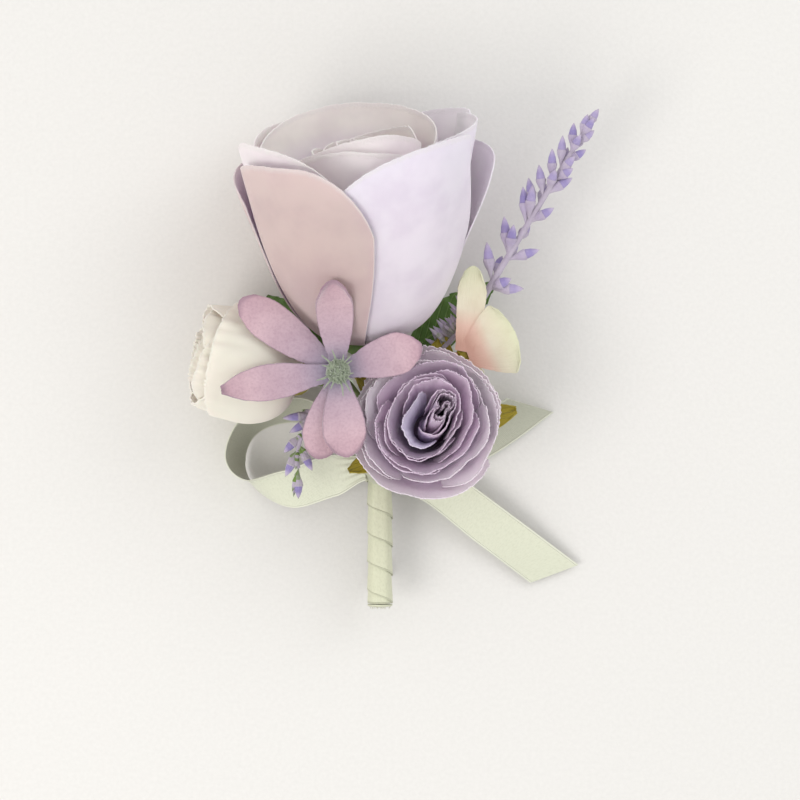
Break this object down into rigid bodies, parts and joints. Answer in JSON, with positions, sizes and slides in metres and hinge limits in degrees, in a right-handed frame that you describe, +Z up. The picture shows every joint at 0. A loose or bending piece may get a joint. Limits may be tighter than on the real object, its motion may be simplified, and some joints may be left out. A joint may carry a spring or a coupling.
{
  "type": "corsage",
  "caption": "Pin-on corsage of fabric flowers, leaves and lavender on a ribbon-wrapped handle, with a ribbon bow and a bar pin whose catch turns.",
  "frame": {"origin": "middle of the bounding box in X and Y, on the surface the corsage lies on in Z", "axes": "+Z up out of the flowers' faces, towards the viewer; +Y along the handle towards the flowers; +X to the viewer's right"},
  "size_m": [0.114, 0.1384, 0.0669],
  "materials": {
    "sepal_olive": "moulded, matte",
    "cream_cloth": "thin crumpled cloth",
    "stem_green": "plastic-coated wire",
    "pin_steel": "bright nickel-plated steel",
    "peach_cloth": "thin cloth, peach towards the middle",
    "glue": "set hot-melt glue, milky",
    "satin_ribbon": "pale satin ribbon with a soft sheen",
    "stem_tape": "waxed florist's tape",
    "lavender": "moulded, flocked",
    "leaf_green": "coated leaf cloth",
    "blush_lilac_cloth": "starched satin-weave cloth",
    "lilac_cloth": "starched satin-weave cloth",
    "sage_button": "flocked",
    "mauve_cloth": "felt-like cloth",
    "purple_cloth": "thin cloth with cut, fluffed edges"
  },
  "bodies": {
    "corsage_body": {"bud_calyx": "sepal_olive", "bud_core": "cream_cloth", "bud_petal_back": "cream_cloth", "bud_petal_front": "cream_cloth", "bud_petal_inner": "cream_cloth", "bud_petal_lower": "cream_cloth", "bud_petal_upper": "cream_cloth", "bud_stem": "stem_green", "floret_calyx": "sepal_olive", "floret_corolla": "peach_cloth", "floret_stem": "stem_green", "glue_bed": "glue", "handle_end": "satin_ribbon", "handle_tape": "stem_tape", "handle_wrap": "satin_ribbon", "lavender_shoot": "lavender", "lavender_sprig": "lavender", "leaf_left": "leaf_green", "leaf_right": "leaf_green", "pin_bar": "pin_steel", "pin_rivet": "pin_steel", "ribbon_knot": "satin_ribbon", "ribbon_loop": "satin_ribbon", "ribbon_tail_lower": "satin_ribbon", "ribbon_tail_side": "satin_ribbon", "ribbon_tie": "satin_ribbon", "rose_calyx": "leaf_green", "rose_core": "blush_lilac_cloth", "rose_petal_back": "lilac_cloth", "rose_petal_back_left": "blush_lilac_cloth", "rose_petal_front_left": "blush_lilac_cloth", "rose_petal_front_right": "lilac_cloth", "rose_petal_inner_arch": "lilac_cloth", "rose_petal_inner_front": "lilac_cloth", "rose_petal_inner_scroll": "lilac_cloth", "rose_petal_inner_slip": "lilac_cloth", "rose_petal_side_left": "blush_lilac_cloth", "rose_petal_side_right": "lilac_cloth", "rose_petal_top_left": "blush_lilac_cloth", "rose_petal_top_right": "lilac_cloth", "rose_stem": "stem_green", "star_button": "sage_button", "star_calyx": "leaf_green", "star_petals_lower": "mauve_cloth", "star_petals_upper": "mauve_cloth", "star_stem": "stem_green", "tea_calyx": "sepal_olive", "tea_core": "purple_cloth", "tea_petal_heart_scroll": "purple_cloth", "tea_petal_inner_scroll": "purple_cloth", "tea_petal_middle_lower": "purple_cloth", "tea_petal_middle_upper": "purple_cloth", "tea_petal_outer_left": "purple_cloth", "tea_petal_outer_lower": "purple_cloth", "tea_petal_outer_right": "purple_cloth", "tea_petal_outer_upper": "purple_cloth", "tea_stem": "stem_green"},
    "needle": {"pin_needle": "pin_steel"},
    "catch": {"catch_rotor": "pin_steel"}
  },
  "joints": [
    {"name": "pin_hinge", "type": "hinge", "parent": "corsage_body", "child": "needle", "pos_m": [-0.00507, -0.03899, 0.00221], "axis": [1, 0, 0], "range_deg": [0, 80]},
    {"name": "catch_turn", "type": "hinge", "parent": "corsage_body", "child": "catch", "pos_m": [-0.00507, -0.06039, 0.00221], "axis": [0, -1, 0], "range_deg": [0, 92]}
  ]
}
